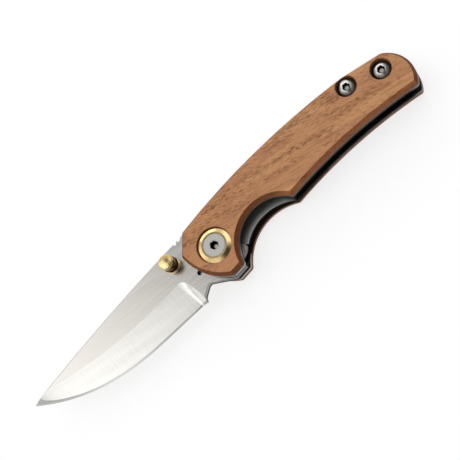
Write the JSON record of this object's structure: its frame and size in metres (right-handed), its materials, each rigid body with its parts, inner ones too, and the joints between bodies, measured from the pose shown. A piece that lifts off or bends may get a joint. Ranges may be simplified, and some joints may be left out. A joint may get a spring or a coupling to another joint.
{
  "type": "folding pocket knife",
  "caption": "Open liner-lock folding knife: flat wooden scales over steel liners, brass pivot collar and thumb studs, hollow-ground drop-point blade that folds into the handle.",
  "frame": {"origin": "under the middle of the open knife's bounding box, in the plane of the rear scale's flat face", "axes": "+X from the blade's point to the handle's butt, +Y to the spine, +Z out of the front scale"},
  "size_m": [0.1766, 0.031, 0.0138],
  "materials": {
    "wood": "oiled, fine pores",
    "liner_steel": "satin",
    "blade_steel": "satin",
    "hardware": "bead blasted",
    "brass": "turned",
    "ball": "polished",
    "spacer": "black, matt"
  },
  "bodies": {
    "handle": {"front_scale": "wood", "rear_scale": "wood", "front_liner": "liner_steel", "rear_liner": "liner_steel", "front_pivot_collar": "brass", "rear_pivot_collar": "brass", "pivot_barrel": "hardware", "pivot_screw": "hardware", "front_washer": "brass", "rear_washer": "brass", "stop_pin": "hardware", "backspacer": "spacer", "front_screw_spine": "hardware", "rear_screw_spine": "hardware", "front_screw_butt": "hardware", "rear_screw_butt": "hardware", "standoff_spine": "hardware", "standoff_butt": "hardware"},
    "blade": {"blade": "blade_steel", "front_thumb_stud": "brass", "rear_thumb_stud": "brass"},
    "lock": {"lock_bar": "liner_steel", "detent_ball": "ball"}
  },
  "joints": [
    {"name": "blade_pivot", "type": "hinge", "parent": "handle", "child": "blade", "pos_m": [-0.0011, -0.00224, 0.0064], "axis": [0, 0, 1], "range_deg": [0, 180], "deforming": ["lock_bar", "detent_ball"]},
    {"name": "lock_bar_flex", "type": "hinge", "parent": "handle", "child": "lock", "pos_m": [0.0449, -0.00124, 0.00365], "axis": [0, 1, 0], "range_deg": [-2.08, 0]}
  ],
  "couplings": [
    {"joint": "lock_bar_flex", "follows": "blade_pivot", "ratio": -0.011547}
  ]
}
